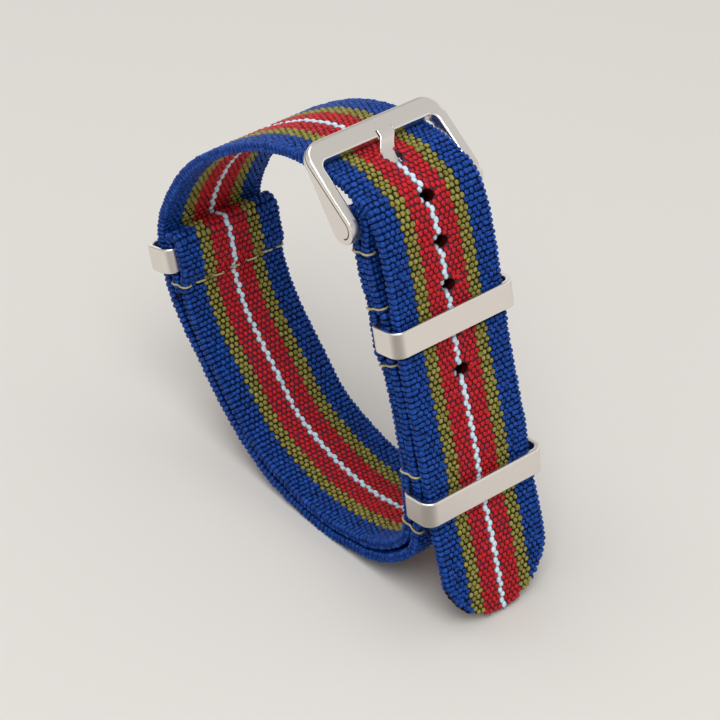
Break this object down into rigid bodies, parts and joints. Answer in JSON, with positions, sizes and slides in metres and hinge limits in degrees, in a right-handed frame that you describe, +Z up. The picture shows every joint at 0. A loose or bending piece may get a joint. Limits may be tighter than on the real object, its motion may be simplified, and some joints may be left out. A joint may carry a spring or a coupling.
{
  "type": "pass-through watch strap",
  "caption": "Closed loop of striped ribbed webbing with a pin buckle, its tongue through a hole, and flat metal keepers sewn in",
  "frame": {"origin": "bottom centre of the bounding box, on the surface that the loop stands on", "axes": "+Z up; +Y across the webbing, the loop's plane of symmetry is Y = 0; +X from the end keeper towards the buckle's side"},
  "size_m": [0.075, 0.0246, 0.0715],
  "materials": {
    "webbing": "ribbed nylon webbing with lengthways stripes",
    "satin_steel": "satin with polished rims",
    "thread": "sewing thread"
  },
  "bodies": {
    "strap": {"long_strap": "webbing", "short_strap": "webbing", "stitch_row_1": "thread", "stitch_row_2": "thread", "stitch_row_3": "thread", "stitch_row_4": "thread", "stitch_row_5": "thread", "fold_stitch_row": "thread"},
    "buckle": {"buckle_frame": "satin_steel", "pin_bar": "satin_steel"},
    "tongue_piece": {"tongue": "satin_steel"},
    "upper_keeper_ring": {"upper_keeper": "satin_steel"},
    "lower_keeper_ring": {"lower_keeper": "satin_steel"},
    "end_keeper_ring": {"end_keeper": "satin_steel"}
  },
  "joints": [
    {"name": "buckle_hinge", "type": "hinge", "parent": "strap", "child": "buckle", "pos_m": [0.01382, 0, 0.0625], "axis": [0, 1, 0], "range_deg": [0, 2.5]},
    {"name": "tongue_hinge", "type": "hinge", "parent": "buckle", "child": "tongue_piece", "pos_m": [0.01382, 0, 0.0625], "axis": [0, 1, 0], "range_deg": [0, 2.5]},
    {"name": "upper_keeper_slide", "type": "slide", "parent": "strap", "child": "upper_keeper_ring", "axis": [-0.2152, 0, 0.9766], "range_m": [-0.0003, 0.0003]},
    {"name": "lower_keeper_slide", "type": "slide", "parent": "strap", "child": "lower_keeper_ring", "axis": [-0.124, 0, 0.9923], "range_m": [-0.0003, 0.0003]},
    {"name": "end_keeper_slide", "type": "slide", "parent": "strap", "child": "end_keeper_ring", "axis": [-0.2756, 0, 0.9613], "range_m": [-0.0003, 0.0003]}
  ]
}
